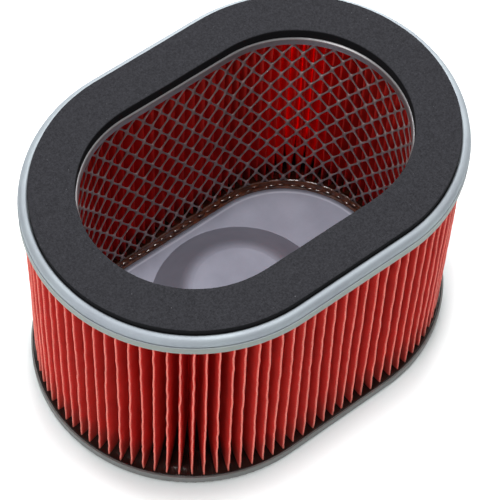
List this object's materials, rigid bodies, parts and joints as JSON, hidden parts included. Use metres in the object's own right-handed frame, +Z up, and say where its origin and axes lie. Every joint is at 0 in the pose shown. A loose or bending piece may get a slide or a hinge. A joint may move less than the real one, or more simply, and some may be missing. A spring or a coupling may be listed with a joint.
{
  "type": "air filter",
  "caption": "Oval air filter element: red pleated paper around an expanded-metal screen, pressed steel end caps, foam gasket around the open top, closed base with a raised round boss.",
  "frame": {"origin": "centre of the base, on the plane that the element stands on", "axes": "+Z up through the open outlet, +X along the oval's long axis"},
  "size_m": [0.152, 0.11, 0.0946],
  "materials": {
    "zinc_steel": "bluish zinc-plated pressed sheet, satin",
    "zinc_steel_base": "dull zinc-plated pressed sheet, satin",
    "red_paper": "red resin-treated filter paper, paler on the folds",
    "clip_steel": "thin tinned strip",
    "screen_steel": "grey expanded steel mesh, dull",
    "brown_sealant": "dark brown cured sealant, glossy",
    "glue": "thin black adhesive",
    "black_foam": "charcoal open-cell foam, matt"
  },
  "bodies": {
    "root": {"top_end_cap": "zinc_steel", "bottom_end_cap": "zinc_steel_base", "pleated_paper": "red_paper", "paper_seam_clip": "clip_steel", "inner_screen": "screen_steel", "top_sealant": "brown_sealant", "bottom_sealant": "brown_sealant", "gasket_glue_film": "glue", "foam_gasket": "black_foam"}
  },
  "joints": []
}
